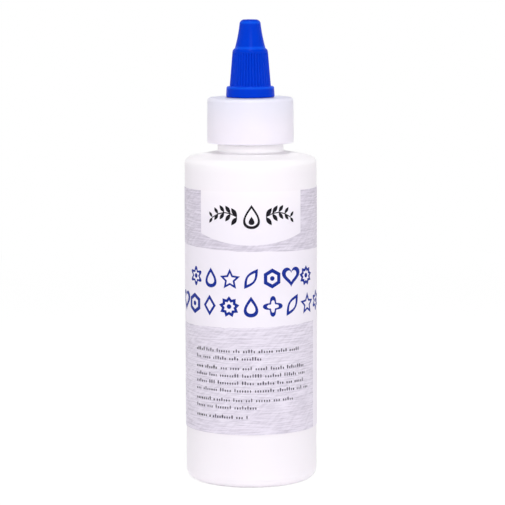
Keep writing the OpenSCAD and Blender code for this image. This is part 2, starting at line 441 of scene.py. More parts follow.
foamTint = {
    "colour": paint(246, 245, 243),
    "gaps": paint(228, 227, 225),
    "cellScale": 3.2,
    "depth": 0.06 * mm,
    "bump": 0.6,
    "roughness": (0.75, 0.9),
    "ior": 1.5,
    "specular": 0.5,
}


def foamFinish():
    # Closed-cell foam, seen as small round cells
    f = foamTint
    material, wire = newFinish("liner_foam")
    cells = wire.add("ShaderNodeTexVoronoi", {}, {"Vector": places(wire), "Scale": f["cellScale"]})
    surface(wire, f, cells.mix(f["colour"], f["gaps"]), cells, 1 - cells)
    return material


inkLayer = {
    "grainScale": 1.7,
    "grainDetail": 5,
    "grainRoughness": 0.6,
    "grainShift": 0.2,
    "depth": 0.01 * mm,
    "bump": 0.2,
    "roughness": (0.36, 0.56),
    "ior": 1.5,
    "specular": 0.12,
}


def ink(name, colour, worn):
    # A printed ink that lies a little uneven on the film
    k = inkLayer
    material, wire = newFinish(name)
    grain = noise(wire, places(wire), k["grainScale"], k["grainDetail"], k["grainRoughness"])
    surface(wire, k, (grain - k["grainShift"]).mix(worn, colour), grain, grain)
    return material


bottleTint = {
    "colour": paint(254, 248, 255),
    "shade": paint(250, 244, 251),
    # Painted light: the shoulder and neck are painted whiter above this height
    "paintedShadingColour": paint(255, 252, 255),
    "paintedShadingHeight": 102 * mm,
    "paintedShadingBlend": 7 * mm,
}
bottlePlastic = milkyPlastic("bottle_plastic_milky", bottleTint)
whiteGlue = glueFinish()
foam = foamFinish()
blueInk = ink("blue_ink", paint(10, 34, 136), paint(24, 50, 150))
blackInk = ink("black_ink", paint(8, 5, 12), paint(28, 24, 34))
greyInk = ink("grey_ink", paint(66, 60, 74), paint(92, 86, 100))
print("materials made")

# ---- bottle ----
linerGap = 0.05 * mm
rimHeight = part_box("closure_liner")[0].z - linerGap
bottle = {
    "radius": 21 * mm,
    "wall": 1 * mm,
    "heelRadius": 3.2 * mm,
    "standWidth": 3.5 * mm,
    "pushUp": 1.4 * mm,
    "baseThickness": 1.3 * mm,
    "cornerHeight": 101.6 * mm,
    "shoulderRadius": 2.4 * mm,
    "shoulderSlope": 10.5,
    "neckRadius": 10.45 * mm,
    "neckWall": 1.7 * mm,
    "neckFillet": 0.8 * mm,
    "rimEdge": 0.35 * mm,
    "standEdge": 0.5 * mm,
    "seamHeight": 0.035 * mm,
    "pinchLength": 15 * mm,
    "pinchWidth": 0.7 * mm,
    "pinchHeight": 0.35 * mm,
    "pinchCrest": 0.96,
    "pinchThickness": 0.2 * mm,
    "steps": 240,
}
neckThread = {
    "lead": 3.175 * mm,
    "turns": 1.5,
    "depth": 1.1 * mm,
    "width": 1.4 * mm,
    "sink": 0.3 * mm,
    "fade": 0.12,
    "leastCrest": 0.02,
    "crestSteps": 8,
    "stepsPerTurn": 96,
    "start": 1.6 * mm,
}
neckThreadFoot = rimHeight - neckThread["start"] - neckThread["lead"] * neckThread["turns"]


def domeHeight(x, floor):
    # Height of the hollow base over a radius
    stand = bottle["radius"] - bottle["heelRadius"] - bottle["standWidth"]
    return floor + bottle["pushUp"] * math.sqrt(max(0, 1 - (x / stand) ** 2))


def bottleOutline():
    # Up the outside from the middle of the base, over the rim and down the inside
    b = bottle
    slope = math.radians(b["shoulderSlope"])
    steep = 90 - b["shoulderSlope"]
    heelX = b["radius"] - b["heelRadius"]
    stand = heelX - b["standWidth"]
    shoulderX = b["radius"] - b["shoulderRadius"]
    shoulderEndX = shoulderX + b["shoulderRadius"] * math.sin(slope)
    shoulderEndZ = b["cornerHeight"] + b["shoulderRadius"] * math.cos(slope)
    neckFoot = shoulderEndZ + (shoulderEndX - b["neckRadius"]) * math.tan(slope)
    filletZ = neckFoot + b["neckFillet"] * (1 - math.sin(slope)) / math.cos(slope)
    innerFoot = neckFoot + b["neckWall"] * math.tan(slope) - b["wall"] / math.cos(slope)
    bore = b["neckRadius"] - b["neckWall"]
    edge = b["rimEdge"]
    baseSteps = 12
    spread = [math.cos(math.pi / 2 * (1 - i / baseSteps)) for i in range(baseSteps)]
    under = [(stand * s, domeHeight(stand * s, 0)) for s in spread]
    inside = [(stand * s, domeHeight(stand * s, b["baseThickness"])) for s in reversed(spread)]
    return (
        under
        + arc(stand + b["standEdge"], b["standEdge"], b["standEdge"], 200, 270, steps=4)
        + arc(heelX, b["heelRadius"], b["heelRadius"], -90, 0, steps=14)
        + arc(shoulderX, b["cornerHeight"], b["shoulderRadius"], 0, steep, steps=14)
        + arc(b["neckRadius"] + b["neckFillet"], filletZ, b["neckFillet"], 180 + steep, 180, steps=8)
        + arc(b["neckRadius"] - edge, rimHeight - edge, edge, 0, 90, steps=5)
        + arc(bore + edge, rimHeight - edge, edge, 90, 180, steps=5)
        + [(bore, innerFoot)]
        + arc(shoulderX, b["cornerHeight"], b["shoulderRadius"] - b["wall"], steep, 0, steps=8)
        + arc(heelX, b["heelRadius"], b["heelRadius"] - b["wall"], 0, -90, steps=8)
        + [(stand, b["baseThickness"])]
        + inside
    )


def addPartingLine(shape):
    # The mould's parting line runs up both sides, on the outside
    b = bottle
    for vertex in shape.verts:
        radius = vertex.co.xy.length
        onBody = radius > b["radius"] - b["wall"] / 2
        onNeck = vertex.co.z > b["cornerHeight"] and radius > b["neckRadius"] - touch
        if abs(vertex.co.y) < touch and (onBody or onNeck) and vertex.co.z > b["heelRadius"]:
            vertex.co.xy *= 1 + b["seamHeight"] / radius


def pinchedSeam():
    # The pinched seam across the base, as a bmesh of its own
    b = bottle
    pinch = bmesh.new()
    bmesh.ops.create_grid(pinch, x_segments=24, y_segments=2, size=0.5)
    bmesh.ops.scale(pinch, verts=pinch.verts[:], vec=(b["pinchLength"], b["pinchWidth"], 1))
    for vertex in pinch.verts:
        crest = abs(vertex.co.y) < touch and abs(vertex.co.x) < b["pinchLength"] / 2 * b["pinchCrest"]
        vertex.co.z = domeHeight(vertex.co.xy.length, 0) - (b["pinchHeight"] if crest else 0)
    bmesh.ops.solidify(pinch, geom=pinch.faces[:], thickness=b["pinchThickness"])
    bmesh.ops.recalc_face_normals(pinch, faces=pinch.faces[:])
    return pinch


def makeBottle():
    shape = bmesh.new()
    lathe(shape, bottleOutline(), bottle["steps"], False)
    addPartingLine(shape)
    thread(shape, bottle["neckRadius"], neckThreadFoot, 1, neckThread)
    addTo(shape, pinchedSeam())
    return makePiece("squeeze_bottle", shape, "bottle", "bottle_plastic", bottlePlastic, "bottle")


squeezeBottle = makeBottle()

# ---- closure ----
nozzleGap = 0.15 * mm
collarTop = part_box("twist_nozzle")[0].z - nozzleGap
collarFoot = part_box("closure")[0].z
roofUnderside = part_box("closure_liner")[1].z + linerGap
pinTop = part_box("closure")[1].z
closure = {
    "radius": 13.8 * mm,
    "bore": 11.85 * mm,
    "draft": 0.12 * mm,
    "topEdge": 1.1 * mm,
    "footEdge": 0.5 * mm,
    "boreEdge": 0.25 * mm,
    "spoutRadius": 3.7 * mm,
    "spoutHeight": 9.4 * mm,
    "spoutFillet": 0.5 * mm,
    "beadOut": 0.4 * mm,
    "beadHeight": 0.5 * mm,
    "noseRadius": 3 * mm,
    "noseHeight": 5.6 * mm,
    "noseEdge": 0.4 * mm,
    "spoutBore": 2 * mm,
    "pinRadius": 1 * mm,
    "pinEdge": 0.2 * mm,
    "pinSteps": 40,
    "finCount": 3,
    "finThickness": 0.8 * mm,
    "finEdge": 0.15 * mm,
    "steps": 192,
}
closureTint = {
    "colour": paint(247, 241, 253),
    "shade": paint(243, 237, 249),
    # Painted shade: the collar's top and the spout are painted darker above this height
    "paintedShadingColour": paint(233, 231, 246),
    "paintedShadingHeight": collarTop - 5 * mm,
    "paintedShadingBlend": 11 * mm,
}
closurePlastic = milkyPlastic("closure_plastic_milky", closureTint)
collarThread = dict(neckThread, turns=1.2)
spoutThread = {
    "lead": 6 * mm,
    "turns": 0.85,
    "depth": 0.5 * mm,
    "width": 1.1 * mm,
    "sink": 0.2 * mm,
    "fade": 0.1,
    "leastCrest": 0.02,
    "crestSteps": 8,
    "stepsPerTurn": 96,
    "starts": 2,
}
spoutTop = collarTop + closure["spoutHeight"]
noseTop = spoutTop + closure["noseHeight"]
spoutThreadFoot = collarTop + closure["spoutFillet"] + spoutThread["width"]


def closureOutline():
    # Down the collar's bore, up its outside, over the roof, up the spout and down inside it
    c = closure
    topRadius = c["radius"] - c["draft"]
    spout = c["spoutRadius"]
    bead = c["beadOut"]
    beadFoot = spoutTop - c["beadHeight"]
    return (
        [(c["bore"], roofUnderside)]
        + arc(c["bore"] + c["boreEdge"], collarFoot + c["boreEdge"], c["boreEdge"], 180, 270, steps=4)
        + arc(c["radius"] - c["footEdge"], collarFoot + c["footEdge"], c["footEdge"], -90, 0, steps=8)
        + arc(topRadius - c["topEdge"], collarTop - c["topEdge"], c["topEdge"], 0, 90, steps=12)
        + arc(spout + c["spoutFillet"], collarTop + c["spoutFillet"], c["spoutFillet"], 270, 180, steps=6)
        + [(spout, beadFoot)]
        + arc(spout + bead / 2, beadFoot + bead / 2, bead / 2, -90, 60, steps=6)
        + [(spout, spoutTop), (c["noseRadius"], spoutTop)]
        + arc(c["noseRadius"] - c["noseEdge"], noseTop - c["noseEdge"], c["noseEdge"], 0, 90, steps=5)
        + [(c["spoutBore"], noseTop), (c["spoutBore"], roofUnderside)]
    )


def sealingPin():
    c = closure
    pin = bmesh.new()
    rounded = arc(c["pinRadius"] - c["pinEdge"], pinTop - c["pinEdge"], c["pinEdge"], 0, 90, steps=4)
    outline = [(0, roofUnderside), (c["pinRadius"], roofUnderside)] + rounded + [(0, pinTop)]
    lathe(pin, outline, c["pinSteps"], False)
    return pin


def fin(turned):
    # One of the upright fins that hold the pin in the spout
    c = closure
    reach = (c["spoutBore"] + c["noseRadius"]) / 2
    made = bmesh.new()
    bmesh.ops.create_cube(made, size=1)
    bmesh.ops.translate(made, verts=made.verts[:], vec=(0.5, 0, 0.5))
    bmesh.ops.scale(made, verts=made.verts[:], vec=(reach, c["finThickness"], spoutTop - roofUnderside))
    upper = [e for e in made.edges if min(v.co.z for v in e.verts) > 0]
    bmesh.ops.bevel(
        made, geom=upper, offset=c["finEdge"], segments=2, profile=0.5, affect="EDGES", material=-1
    )
    bmesh.ops.transform(
        made, verts=made.verts[:],
        matrix=Matrix.Translation(up * roofUnderside) @ Matrix.Rotation(turned, 4, "Z"),
    )
    return made


def makeClosure():
    c = closure
    shape = bmesh.new()
    lathe(shape, closureOutline(), c["steps"], True)
    thread(shape, c["bore"], neckThreadFoot - neckThread["lead"] / 2, -1, collarThread)
    for i in range(spoutThread["starts"]):
        turned = fullTurn * i / spoutThread["starts"]
        thread(shape, c["spoutRadius"], spoutThreadFoot, 1, spoutThread, turned)
    addTo(shape, sealingPin())
    for i in range(c["finCount"]):
        addTo(shape, fin(fullTurn * i / c["finCount"]))
    return makePiece("screw_closure", shape, "closure", "closure_plastic", closurePlastic, "closure")


screwClosure = makeClosure()

# ---- twist nozzle ----
nozzle = {
    "bore": 4.5 * mm,
    "flangeRadius": 7.74 * mm,
    "flangeHeight": 3.4 * mm,
    "flangeDraft": 0.15 * mm,
    "flangeEdge": 0.6 * mm,
    "flangeFootEdge": 0.4 * mm,
    "boreEdge": 0.2 * mm,
    "barrelFoot": 6.56 * mm,
    "barrelRadius": 5.65 * mm,
    "barrelOver": 6.3 * mm,
    "ledgeRadius": 1.4 * mm,
    "ledgeTurn": 62,
    "ribCount": 40,
    "ribDepth": 0.32 * mm,
    "ribShare": 0.86,
    "ribFade": 0.5 * mm,
    "facesPerRib": 10,
    "coneRadius": 4.85 * mm,
    "coneWaist": 0.15 * mm,
    "tipRadius": 3.375 * mm,
    "tipEdge": 1.5 * mm,
    "sealRadius": 3.05 * mm,
    "orifice": 1.05 * mm,
    "orificeEdge": 0.2 * mm,
    "chamberRadius": 1.75 * mm,
    "chamberHeight": 7.25 * mm,
    "clearance": 0.3 * mm,
    "rise": 3 * mm,
    "beadGap": 0.05 * mm,
    "barrelSteps": 10,
    "coneSteps": 12,
    # How far below the flange top and the tip top the painted highlights lie
    "paintedHighlightFlange": 0.3 * mm,
    "paintedHighlightTip": 0.9 * mm,
}
nozzleThread = dict(spoutThread, turns=0.4)
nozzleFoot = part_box("twist_nozzle")[0].z
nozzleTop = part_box("twist_nozzle")[1].z
flangeTop = nozzleFoot + nozzle["flangeHeight"]
barrelTop = spoutTop + nozzle["barrelOver"]
ledgeFoot = barrelTop - nozzle["ledgeRadius"]
# Painted highlights at the flange's top edge, the ledge and the tip's edge
nozzlePlastic = bluePlastic((flangeTop - nozzle["paintedHighlightFlange"], barrelTop, nozzleTop - nozzle["paintedHighlightTip"]))


def nozzleOutline():
    # Down the threaded bore, up the outside, and back down through the orifice and the chamber
    n = nozzle
    foot = n["flangeFootEdge"]
    flange = n["flangeRadius"] - n["flangeDraft"] - n["flangeEdge"]
    rise = ledgeFoot - flangeTop
    fade = n["ribFade"] / rise
    climb = [i / n["barrelSteps"] for i in range(n["barrelSteps"])] + [1 - fade, 1 - fade / 2]
    barrel = [
        (n["barrelFoot"] + (n["barrelRadius"] - n["barrelFoot"]) * t, flangeTop + rise * t)
        for t in sorted(climb)
    ]
    # The cone draws in by its waist halfway up
    coneRise = nozzleTop - n["tipEdge"] - barrelTop
    narrowing = n["tipRadius"] - n["coneRadius"]
    cone = [
        (n["coneRadius"] + narrowing * t - n["coneWaist"] * 4 * t * (1 - t), barrelTop + coneRise * t)
        for t in [i / n["coneSteps"] for i in range(n["coneSteps"])]
    ]
    ledge = n["barrelRadius"] - n["ledgeRadius"]
    hole = n["orifice"] + n["orificeEdge"]
    seat = spoutTop + n["clearance"]
    chamberFoot = noseTop + n["clearance"]
    orificeFoot = noseTop + n["chamberHeight"]
    return (
        [(n["bore"], seat)]
        + arc(n["bore"] + n["boreEdge"], nozzleFoot + n["boreEdge"], n["boreEdge"], 180, 270, steps=4)
        + arc(n["flangeRadius"] - foot, nozzleFoot + foot, foot, -90, 0, steps=6)
        + arc(flange, flangeTop - n["flangeEdge"], n["flangeEdge"], 0, 90, steps=8)
        + barrel
        + arc(ledge, ledgeFoot, n["ledgeRadius"], 0, n["ledgeTurn"], steps=8)
        + cone
        + arc(n["tipRadius"] - n["tipEdge"], nozzleTop - n["tipEdge"], n["tipEdge"], 0, 90, steps=10)
        + arc(hole, nozzleTop - n["orificeEdge"], n["orificeEdge"], 90, 180, steps=3)
        + [(n["orifice"], orificeFoot), (n["chamberRadius"], orificeFoot)]
        + [(n["sealRadius"], chamberFoot), (n["sealRadius"], seat)]
    )


def cutGrooves(shape):
    # Round ribs stand between narrow grooves that run out under the ledge
    n = nozzle
    for vertex in shape.verts:
        radius = vertex.co.xy.length
        below = ledgeFoot - vertex.co.z
        onBarrel = n["barrelRadius"] - touch < radius < n["barrelFoot"] + touch
        if onBarrel and below > 0 and vertex.co.z > flangeTop - touch:
            # 0 to 1 from one groove to the next, with the rib's crest halfway
            place = (math.atan2(vertex.co.y, vertex.co.x) / fullTurn * n["ribCount"] + 0.5) % 1
            across = min(1, abs(2 * place - 1) / n["ribShare"])
            depth = n["ribDepth"] * (1 - math.sqrt(1 - across ** 2)) * min(1, below / n["ribFade"])
            vertex.co.xy *= 1 - depth / radius


def makeNozzle():
    n = nozzle
    shape = bmesh.new()
    lathe(shape, nozzleOutline(), n["ribCount"] * n["facesPerRib"], True)
    cutGrooves(shape)
    # Open, the threads' upper ends come up under the spout's bead
    threadTop = spoutTop - closure["beadHeight"] - n["beadGap"] - n["rise"] - nozzleThread["width"] / 2
    foot = threadTop - nozzleThread["lead"] * nozzleThread["turns"]
    # Closed, the nozzle's threads lie midway between the spout's
    pitch = nozzleThread["lead"] / nozzleThread["starts"]
    start = (foot - spoutThreadFoot - pitch / 2) * fullTurn / nozzleThread["lead"]
    for i in range(nozzleThread["starts"]):
        turned = start + fullTurn * i / nozzleThread["starts"]
        thread(shape, n["bore"], foot, -1, nozzleThread, turned)
    name = "twist_nozzle_ribbed"
    return makePiece(name, shape, "nozzle", "nozzle_plastic", nozzlePlastic, "twist_nozzle")


twistNozzle = makeNozzle()

# ---- label ----
labelLow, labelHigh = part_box("wrap_label")
label = {
    "radius": 21.05 * mm,
    "thickness": 0.09 * mm,
    "gap": 3 * mm,
    "cornerRadius": 2 * mm,
    "column": 0.8 * mm,
}
labelFoot = labelLow.z
labelHeight = labelHigh.z - labelLow.z
labelFace = label["radius"] + label["thickness"]
around = fullTurn * labelFace


def sliceUpright(shape, spacing):
    # Cuts a flat shape into upright strips, so that it can bend round the bottle
    reach = max(abs(v.co.x) for v in shape.verts)
    count = int(reach / spacing)
    for i in range(-count, count + 1):
        everything = shape.verts[:] + shape.edges[:] + shape.faces[:]
        bmesh.ops.bisect_plane(
            shape, geom=everything, dist=weld, plane_co=(i * spacing, 0, 0), plane_no=(1, 0, 0)
        )


def bendRound(shape, side, height, radius):
    # Lays a flat upright shape on the bottle, its own middle at an arc length and a height
    for vertex in shape.verts:
        turn = (side + vertex.co.x) / radius
        vertex.co = (radius * math.sin(turn), -radius * math.cos(turn), height + vertex.co.z)


def thicken(shape, thickness):
    # Gives a bent sheet its thickness, away from the axis
    bmesh.ops.recalc_face_normals(shape, faces=shape.faces[:])
    for face in shape.faces:
        if face.normal.xy.dot(face.calc_center_median().xy) < 0:
            face.normal_flip()
    bmesh.ops.solidify(shape, geom=shape.faces[:], thickness=-thickness)
    bmesh.ops.recalc_face_normals(shape, faces=shape.faces[:])


def onLabel(point):
    # A point of the label as arc length from the front and height
    return math.atan2(point.x, -point.y) * labelFace, point.z


def makeLabel(finish):
    shape = bmesh.new()
    length = fullTurn * label["radius"] - label["gap"]
    bmesh.ops.create_grid(shape, x_segments=1, y_segments=1, size=0.5)
    upright = Matrix.Rotation(math.pi / 2, 3, "X")
    bmesh.ops.rotate(shape, verts=shape.verts[:], cent=middle, matrix=upright)
    bmesh.ops.scale(shape, verts=shape.verts[:], vec=(length, 1, labelHeight))
    bmesh.ops.bevel(
        shape, geom=shape.verts[:], offset=label["cornerRadius"], segments=6, profile=0.5,
        affect="VERTICES", material=-1,
    )
    sliceUpright(shape, label["column"])
    bendRound(shape, 0, labelFoot + labelHeight / 2, label["radius"])
    thicken(shape, label["thickness"])
    printMap = shape.loops.layers.uv.new("print")
    for face in shape.faces:
        for loop in face.loops:
            side, height = onLabel(loop.vert.co)
            loop[printMap].uv = (side / around + 0.5, (height - labelFoot) / labelHeight)
    return makePiece("printed_label", shape, "bottle", "label_film", finish, "wrap_label")


labelFinish, labelWire = newFinish("printed_film")
printedLabel = makeLabel(labelFinish)


def markOnLabel(name):
    # An image point on the label, as arc length from the front and height
    return onLabel(placeOn(printedLabel, name))


shieldHalf, shieldShoulder = markOnLabel("shieldShoulder")
panelEnd = markOnLabel("panelEnd")[0]
# The shader works in millimetres, so the pattern's own lengths are plain numbers of them
ground = {
    "film": paint(248, 242, 252),
    "filmShade": paint(244, 238, 249),
    "filmTop": paint(254, 248, 255),
    "topBlend": 9,
    "cloudScale": 0.2,
    "cloudDetail": 3,
    "greyLight": paint(238, 231, 245),
    "greyDark": paint(201, 193, 209),
    "bandFoot": markOnLabel("bandFoot")[1],
    "bandLean": -0.026,
    "bandRag": 0.7,
    "shieldHalf": shieldHalf,
    "shieldShoulder": shieldShoulder,
    "shieldFoot": markOnLabel("shieldFoot")[1],
    "panelTop": markOnLabel("panelTop")[1],
    "panelLean": 0.02,
    "panelRag": 1.5,
    "panelEnd": panelEnd,
    "columnWidth": 16.6 * mm,
    "edgeWidth": 0.12,
    "ragLength": 6,
    "ragHeight": 2.2,
    "ragDetail": 4,
    "ragRoughness": 0.65,
    "strokeLength": 7,
    "strokeGap": 0.42,
    "scratchLength": 6,
    "scratchGap": 1.1,
    "scratchLean": 0.8,
    "scratchShare": 0.3,
    "brushDetail": 3,
    "brushRoughness": 0.6,
    "contrast": 4.2,
    "tone": 0.46,
    "panelTone": 0.22,
    "depth": 0.02 * mm,
    "bump": 0.25,
    "roughness": (0.42, 0.52),
    "ior": 1.5,
    "specular": 0.3,
}


def brushing(wire, side, height):
    # Long strokes along the label, and the same for fainter ones that cross them
    g = ground
    along = joined(wire, side / g["strokeLength"], height / g["strokeGap"])
    across = joined(
        wire,
        (side * g["scratchLean"] - height) / g["scratchGap"],
        (height * g["scratchLean"] + side) / g["scratchLength"],
        z=4,
    )
    return [noise(wire, way, 1, g["brushDetail"], g["brushRoughness"]) for way in (along, across)]


def greyFields(wire, side, height):
    # 1 in the band round the shield and in the panel, which the column at the right cuts
    g = ground
    soft = g["edgeWidth"]
    ragged = joined(wire, side / g["ragLength"], height / g["ragHeight"], z=9)
    rag = noise(wire, ragged, 1, g["ragDetail"], g["ragRoughness"])
    halfWidth = g["shieldHalf"] / mm
    foot = g["shieldFoot"] / mm
    across = side / halfWidth
    shieldFoot = foot + (g["shieldShoulder"] / mm - foot) * across * across
    inShield = (halfWidth - wire.math("ABSOLUTE", side)).edge(soft) * (height - shieldFoot).edge(soft)
    bandFoot = g["bandFoot"] / mm + g["bandLean"] * side + (rag - 0.5) * g["bandRag"]
    band = (height - bandFoot).edge(soft) * (1 - inShield)
    past = side - g["panelEnd"] / mm
    column = past.edge(soft) * (g["columnWidth"] / mm - past).edge(soft)
    panelTop = g["panelTop"] / mm + g["panelLean"] * side + (rag - 0.5) * g["panelRag"]
    panel = (panelTop - height).edge(soft) * (1 - column)
    return band, panel


def finishLabel(wire):
    # Printed film: brushed grey fields on white
    g = ground
    printMap = wire.add("ShaderNodeUVMap", {"uv_map": "print"})
    flat = wire.add("ShaderNodeSeparateXYZ", {}, {0: printMap})
    side = (flat - 0.5) * (around / mm)
    height = flat.part("Y") * (labelHeight / mm) + labelFoot / mm
    strokes, scratches = brushing(wire, side, height)
    band, panel = greyFields(wire, side, height)
    brushed = strokes * (1 - g["scratchShare"]) + scratches * g["scratchShare"]
    tone = (brushed - 0.5) * g["contrast"] + g["tone"] + panel * g["panelTone"]
    tone = wire.math("MINIMUM", wire.math("MAXIMUM", tone, 0), 1)
    cloud = noise(wire, places(wire), g["cloudScale"], g["cloudDetail"])
    fromTop = (labelFoot + labelHeight) / mm - height
    film = (1 - fromTop / g["topBlend"]).mix(cloud.mix(g["filmShade"], g["film"]), g["filmTop"])
    grey = tone.mix(g["greyDark"], g["greyLight"])
    surface(wire, g, (band + panel).mix(film, grey), strokes, cloud)


finishLabel(labelWire)

# ---- print on the label ----
inkGap = 0.002 * mm  # how far the ink stays inside the label's CAD box
inkFace = labelHigh.x - inkGap
inkFoot = label["radius"] + label["thickness"] / 2
# The lines' lengths and each paragraph's black lead are in millimetres
finePrint = {
    "paragraphs": ((36.6, 23), (39, 40, 38.6, 41), (35, 22), (19,)),
    "backShare": 0.7,
    "boldLead": (4.5, 10, 8.5, 7),
    "linePitch": 2.36 * mm,
    "paragraphGap": 0.72 * mm,
    "pitch": 0.82 * mm,
    "beadWidth": 0.5 * mm,
    "beadHeight": 0.82 * mm,
    "beadSides": 8,
    "beadSpread": (0.75, 1.1),
    "tallShare": 0.25,
    "tallHeight": 1.3 * mm,
    "wordLength": (3, 9),
    "wordGap": 0.75 * mm,
    "seed": 7,
    "backSide": -61 * mm,
}


def flatShape(points, high, wide=None):
    # One flat upright face through points, scaled to a height and a width
    shape = bmesh.new()
    lows = [min(p[i] for p in points) for i in (0, 1)]
    highs = [max(p[i] for p in points) for i in (0, 1)]
    tall = high / (highs[1] - lows[1])
    broad = wide / (highs[0] - lows[0]) if wide else tall
    corners = [
        shape.verts.new((
            (x - (lows[0] + highs[0]) / 2) * broad, 0, (z - (lows[1] + highs[1]) / 2) * tall
        ))
        for x, z in points
    ]
    shape.faces.new(corners)
    shape.normal_update()
    return shape


def openUp(shape, share):
    # Leaves a flat face's rim only, round a hole of the same outline
    face = shape.faces[:][0]
    bmesh.ops.inset_individual(shape, faces=[face], thickness=0)
    hole = Matrix.Translation(-face.calc_center_median_weighted())
    bmesh.ops.scale(shape, verts=face.verts[:], vec=(share,) * 3, space=hole)
    bmesh.ops.delete(shape, geom=[face], context="FACES")


def layOn(whole, shape, side, height):
    # Bends a flat shape onto the label, adds it to a print and frees it
    sliceUpright(shape, label["column"])
    bendRound(shape, side, height, inkFoot)
    addTo(whole, shape)


def makePrint(name, shape, finish):
    # A print as a piece, with the ink's thickness
    thicken(shape, inkFace - inkFoot)
    return makePiece(name, shape, "bottle", "label_film", finish)


def turnsOf(steps):
    return [fullTurn * i / steps for i in range(steps)]


def wavy(rule, steps=48):
    # Points of a closed outline from a rule of radius by angle, starting at the top
    return [(rule(t) * math.sin(t), rule(t) * math.cos(t)) for t in turnsOf(steps)]


def polygon(sides):
    return wavy(lambda t: 1, sides)


def zigzag(count, inner):
    # A star outline of so many tips
    return [
        ((1, inner)[i % 2] * math.sin(t), (1, inner)[i % 2] * math.cos(t))
        for i, t in enumerate(turnsOf(2 * count))
    ]


def dropOutline(broad=0.95, sharp=1.3, steps=40):
    return [(broad * math.sin(t) * math.sin(t / 2) ** sharp, math.cos(t)) for t in turnsOf(steps)]


def heartOutline(steps=44):
    # The usual curve of a heart, as a sum of waves
    waves = (13, -5, -2, -1)
    return [
        (16 * math.sin(t) ** 3, sum(wave * math.cos(i * t) for i, wave in enumerate(waves, 1)))
        for t in turnsOf(steps)
    ]


def leafOutline(lean, broad=0.42, steps=14):
    # Two arcs that meet in points
    half = [(math.sin(math.pi * i / steps) * broad, 1 - 2 * i / steps) for i in range(steps)]
    both = half + [(-x, -z) for x, z in half]
    return [
        (x * math.cos(lean) + z * math.sin(lean), z * math.cos(lean) - x * math.sin(lean))
        for x, z in both
    ]


# Each motif's outline, and whether a dot stands in it
motifs = {
    "star": (zigzag(5, 0.48), False),
    "flower": (wavy(lambda t: 0.8 + 0.2 * math.cos(6 * t)), True),
    "drop": (dropOutline(), False),
    "heart": (heartOutline(), False),
    "leaf": (leafOutline(0.6), False),
    "hexagon": (polygon(6), True),
    "sun": (zigzag(9, 0.72), True),
    "clover": (wavy(lambda t: 0.74 + 0.26 * math.cos(4 * t)), False),
    "diamond": ([(0, 1), (0.72, 0), (0, -1), (-0.72, 0)], False),
}
rows = {
    "upperRow": {
        "motifs": ("flower", "drop", "star", "leaf", "hexagon", "heart", "sun"),
        "height": 6.3 * mm,
        "pitch": 6.75 * mm,
    },
    "lowerRow": {
        "motifs": ("heart", "hexagon", "diamond", "sun", "drop", "clover", "leaf", "star", "flower"),
        "height": 6.6 * mm,
        "pitch": 7 * mm,
    },
}
rowHole = 0.6
dot = {"size": 1.5 * mm, "sides": 16}


def makeRow(name):
    # A row of outlined motifs, its middle one on the image point
    row = rows[name]
    side, height = markOnLabel(name)
    shape = bmesh.new()
    for i, motif in enumerate(row["motifs"]):
        outline, dotted = motifs[motif]
        place = side + (i - (len(row["motifs"]) - 1) / 2) * row["pitch"]
        ring = flatShape(outline, row["height"])
        openUp(ring, rowHole)
        layOn(shape, ring, place, height)
        if dotted:
            layOn(shape, flatShape(polygon(dot["sides"]), dot["size"]), place, height)
    return makePrint("motif_" + name, shape, blueInk)


emblem = {
    "dropHeight": 7.6 * mm,
    "dropHole": 0.74,
    "seedHeight": 2.6 * mm,
    "seedLow": 0.16,
    "leafPairs": 5,
    "start": 4.6 * mm,
    "reach": 13 * mm,
    "arch": 1.5 * mm,
    "droop": 0.3,
    "leafLength": 3.3 * mm,
    "leafHeight": 0.8,
    "leafShrink": 0.35,
    "leafLean": 0.95,
    "leafOut": 0.45,
    "leafUp": 0.42,
    "stemWidth": 0.35 * mm,
}


def stemHeight(share):
    # How high a sprig's stem stands over its foot, by the share of its length
    return emblem["arch"] * (math.sin(share * math.pi) - emblem["droop"] * share)


def addSprig(shape, side, height, way):
    # A stem with pairs of leaves that grow smaller towards its tip
    e = emblem
    upper = []
    for i in range(e["leafPairs"]):
        share = i / (e["leafPairs"] - 1)
        out = way * (e["start"] + (e["reach"] - e["start"]) * share)
        rise = stemHeight(share)
        upper.append((out, rise + e["stemWidth"] / 2))
        long = e["leafLength"] * (1 - e["leafShrink"] * share)
        for over in (-1, 1):
            lean = way * (math.pi / 2 - over * e["leafLean"])
            leaf = flatShape(leafOutline(lean), long * e["leafHeight"])
            leafSide = side + out + way * math.cos(e["leafLean"]) * long * e["leafOut"]
            layOn(shape, leaf, leafSide, height + rise + over * long * e["leafUp"])
    lower = [(out, rise - e["stemWidth"]) for out, rise in reversed(upper)]
    rises = [z for out, z in upper + lower]
    stem = flatShape(upper + lower, max(rises) - min(rises))
    stemSide = side + (upper[0][0] + upper[-1][0]) / 2
    layOn(shape, stem, stemSide, height + (max(rises) + min(rises)) / 2)


def makeEmblem():
    # A drop between two sprigs of leaves
    e = emblem
    side, height = markOnLabel("emblem")
    shape = bmesh.new()
    drop = flatShape(dropOutline(), e["dropHeight"])
    openUp(drop, e["dropHole"])
    layOn(shape, drop, side, height)
    layOn(shape, flatShape(dropOutline(), e["seedHeight"]), side, height - e["dropHeight"] * e["seedLow"])
    for way in (-1, 1):
        addSprig(shape, side, height, way)
    return makePrint("emblem", shape, blackInk)


def beadLine(shape, side, height, length, dice):
    # Small beads in groups along a line
    f = finePrint
    place = 0
    while place < length:
        for i in range(dice.randint(*f["wordLength"])):
            if place < length:
                tall = dice.random() < f["tallShare"]
                high = f["tallHeight"] if tall else f["beadHeight"]
                wide = f["beadWidth"] * dice.uniform(*f["beadSpread"])
                bead = flatShape(polygon(f["beadSides"]), high, wide)
                bendRound(bead, side + place, height + (high - f["beadHeight"]) / 2, inkFoot)
                addTo(shape, bead)
                place += f["pitch"]
        place += f["wordGap"]


